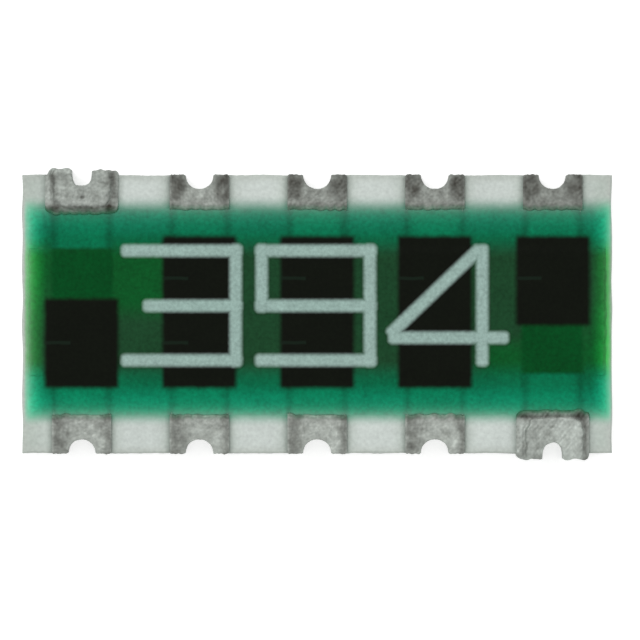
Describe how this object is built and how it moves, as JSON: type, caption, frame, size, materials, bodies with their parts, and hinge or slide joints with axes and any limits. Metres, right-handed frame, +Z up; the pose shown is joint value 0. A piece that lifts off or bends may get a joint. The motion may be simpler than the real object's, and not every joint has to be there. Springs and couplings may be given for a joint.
{
  "type": "chip resistor network",
  "caption": "Bussed thick-film chip resistor network on alumina, with castellated plated terminals on both long edges, a green coat and a printed value code.",
  "frame": {"origin": "on the plane of the ten solder lands, below the centre of the chip", "axes": "+X along the chip's length, towards the end with terminals 5 and 6; +Y towards the row of terminals 6 to 10; +Z up, away from the board"},
  "size_m": [0.0064, 0.0032, 0.0005],
  "materials": {
    "alumina": "matte",
    "fired_silver": "satin",
    "nickel": "satin",
    "tin": "satin",
    "resistor_ink": "satin",
    "green_glass": "gloss",
    "green_overcoat": "satin"
  },
  "bodies": {
    "root": {"substrate": "alumina", "common_conductor": "fired_silver", "electrode_1": "fired_silver", "electrode_2": "fired_silver", "electrode_3": "fired_silver", "electrode_4": "fired_silver", "electrode_6": "fired_silver", "electrode_7": "fired_silver", "electrode_8": "fired_silver", "electrode_9": "fired_silver", "resistor_film_1": "resistor_ink", "resistor_film_2": "resistor_ink", "resistor_film_3": "resistor_ink", "resistor_film_4": "resistor_ink", "resistor_film_5": "resistor_ink", "glass_glaze": "green_glass", "overcoat": "green_overcoat", "nickel_barrier_1": "nickel", "nickel_barrier_2": "nickel", "nickel_barrier_3": "nickel", "nickel_barrier_4": "nickel", "nickel_barrier_5": "nickel", "nickel_barrier_6": "nickel", "nickel_barrier_7": "nickel", "nickel_barrier_8": "nickel", "nickel_barrier_9": "nickel", "nickel_barrier_10": "nickel", "terminal_1": "tin", "terminal_2": "tin", "terminal_3": "tin", "terminal_4": "tin", "terminal_5": "tin", "terminal_6": "tin", "terminal_7": "tin", "terminal_8": "tin", "terminal_9": "tin", "terminal_10": "tin"}
  },
  "joints": []
}
